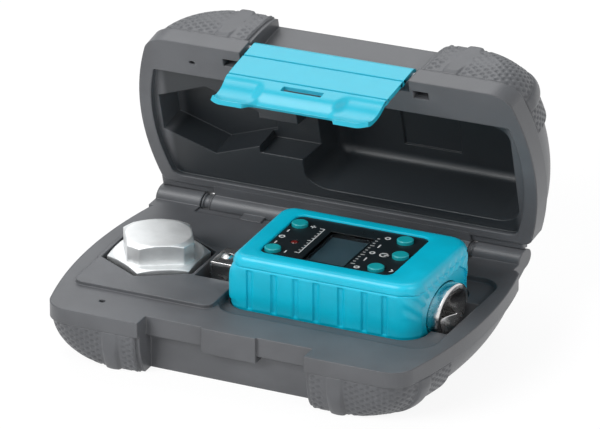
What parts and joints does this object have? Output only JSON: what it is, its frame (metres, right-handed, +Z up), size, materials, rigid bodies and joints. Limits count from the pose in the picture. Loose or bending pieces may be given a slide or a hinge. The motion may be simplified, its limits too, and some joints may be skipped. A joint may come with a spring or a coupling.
{
  "type": "digital torque adapter in its case",
  "caption": "Electronic torque adapter for half-inch square drives, with display and push buttons, in a hinged moulded case with a clip-on latch and a loose drive block.",
  "frame": {"origin": "under the middle of the case, on the surface it stands on; the hinge axis is 55 mm behind and 31.5 mm above it", "axes": "+X along the hinge towards the female square, +Y to the hinge side, +Z up from the resting face"},
  "size_m": [0.1466, 0.1322, 0.1363],
  "materials": {
    "case_plastic": "satin blow-moulded polyethylene",
    "pin_steel": "drawn wire",
    "latch_plastic": "semi-gloss moulded",
    "boot_rubber": "matt elastomer, moulded",
    "housing_plastic": "fine texture",
    "panel_film": "gloss film",
    "lens_clear": "clear",
    "lcd_grey": "unlit display",
    "led_red": "tinted clear",
    "button_rubber": "silicone",
    "board_green": "solder mask",
    "mat_grey": "silicone",
    "screw_steel": "zinc plated",
    "chrome_steel": "mirror plated",
    "spring_steel": "wire",
    "bush_brass": "turned",
    "gauge_foil": "film with foil grid",
    "cell_jacket": "sleeve",
    "block_steel": "satin nickel plate"
  },
  "bodies": {
    "case": {"case_base": "case_plastic", "hinge_pins": "pin_steel"},
    "lid": {"case_lid": "case_plastic", "latch_pin": "pin_steel"},
    "latch": {"latch": "latch_plastic"},
    "adapter": {"boot": "boot_rubber", "housing_upper": "housing_plastic", "housing_lower": "housing_plastic", "housing_screws": "screw_steel", "battery_cover": "housing_plastic", "cover_screw": "screw_steel", "front_panel": "panel_film", "display_lens": "lens_clear", "lcd_module": "lcd_grey", "status_led": "led_red", "circuit_board": "board_green", "key_mat": "mat_grey", "buzzer": "housing_plastic", "batteries": "cell_jacket", "battery_contacts": "spring_steel", "drive_shaft": "chrome_steel", "detent_spring": "spring_steel", "strain_gauges": "gauge_foil", "male_bush": "bush_brass", "retaining_ring": "spring_steel", "female_bush": "bush_brass"},
    "block": {"drive_block": "block_steel"},
    "detent_ball": {"detent_ball": "chrome_steel"},
    "button_up": {"button_up": "button_rubber"},
    "button_down": {"button_down": "button_rubber"},
    "button_unit": {"button_unit": "button_rubber"},
    "button_power": {"button_power": "button_rubber"},
    "button_mode": {"button_mode": "button_rubber"}
  },
  "joints": [
    {"name": "lid_hinge", "type": "hinge", "parent": "case", "child": "lid", "pos_m": [0, 0.055, 0.0315], "axis": [-1, 0, 0], "range_deg": [-79.4, 0]},
    {"name": "latch_hinge", "type": "hinge", "parent": "lid", "child": "latch", "pos_m": [0, 0.04387, 0.13176], "axis": [-1, 0, 0], "range_deg": [-4, 110]},
    {"name": "adapter_lift", "type": "slide", "parent": "case", "child": "adapter", "axis": [0, 0, 1], "range_m": [0, 0.045]},
    {"name": "block_lift", "type": "slide", "parent": "case", "child": "block", "axis": [0, 0, 1], "range_m": [0, 0.03]},
    {"name": "button_up_press", "type": "slide", "parent": "adapter", "child": "button_up", "axis": [0, 0, -1], "range_m": [0, 0.0009], "stiffness_N_per_m": 900, "springref_m": -0.0008},
    {"name": "button_down_press", "type": "slide", "parent": "adapter", "child": "button_down", "axis": [0, 0, -1], "range_m": [0, 0.0009], "stiffness_N_per_m": 900, "springref_m": -0.0008},
    {"name": "button_unit_press", "type": "slide", "parent": "adapter", "child": "button_unit", "axis": [0, 0, -1], "range_m": [0, 0.0009], "stiffness_N_per_m": 900, "springref_m": -0.0008},
    {"name": "button_power_press", "type": "slide", "parent": "adapter", "child": "button_power", "axis": [0, 0, -1], "range_m": [0, 0.0009], "stiffness_N_per_m": 900, "springref_m": -0.0008},
    {"name": "button_mode_press", "type": "slide", "parent": "adapter", "child": "button_mode", "axis": [0, 0, -1], "range_m": [0, 0.0009], "stiffness_N_per_m": 900, "springref_m": -0.0008},
    {"name": "ball_press", "type": "slide", "parent": "adapter", "child": "detent_ball", "axis": [0, 0, -1], "range_m": [0, 0.0012], "stiffness_N_per_m": 1500, "springref_m": -0.001, "deforming": ["detent_spring"]}
  ]
}
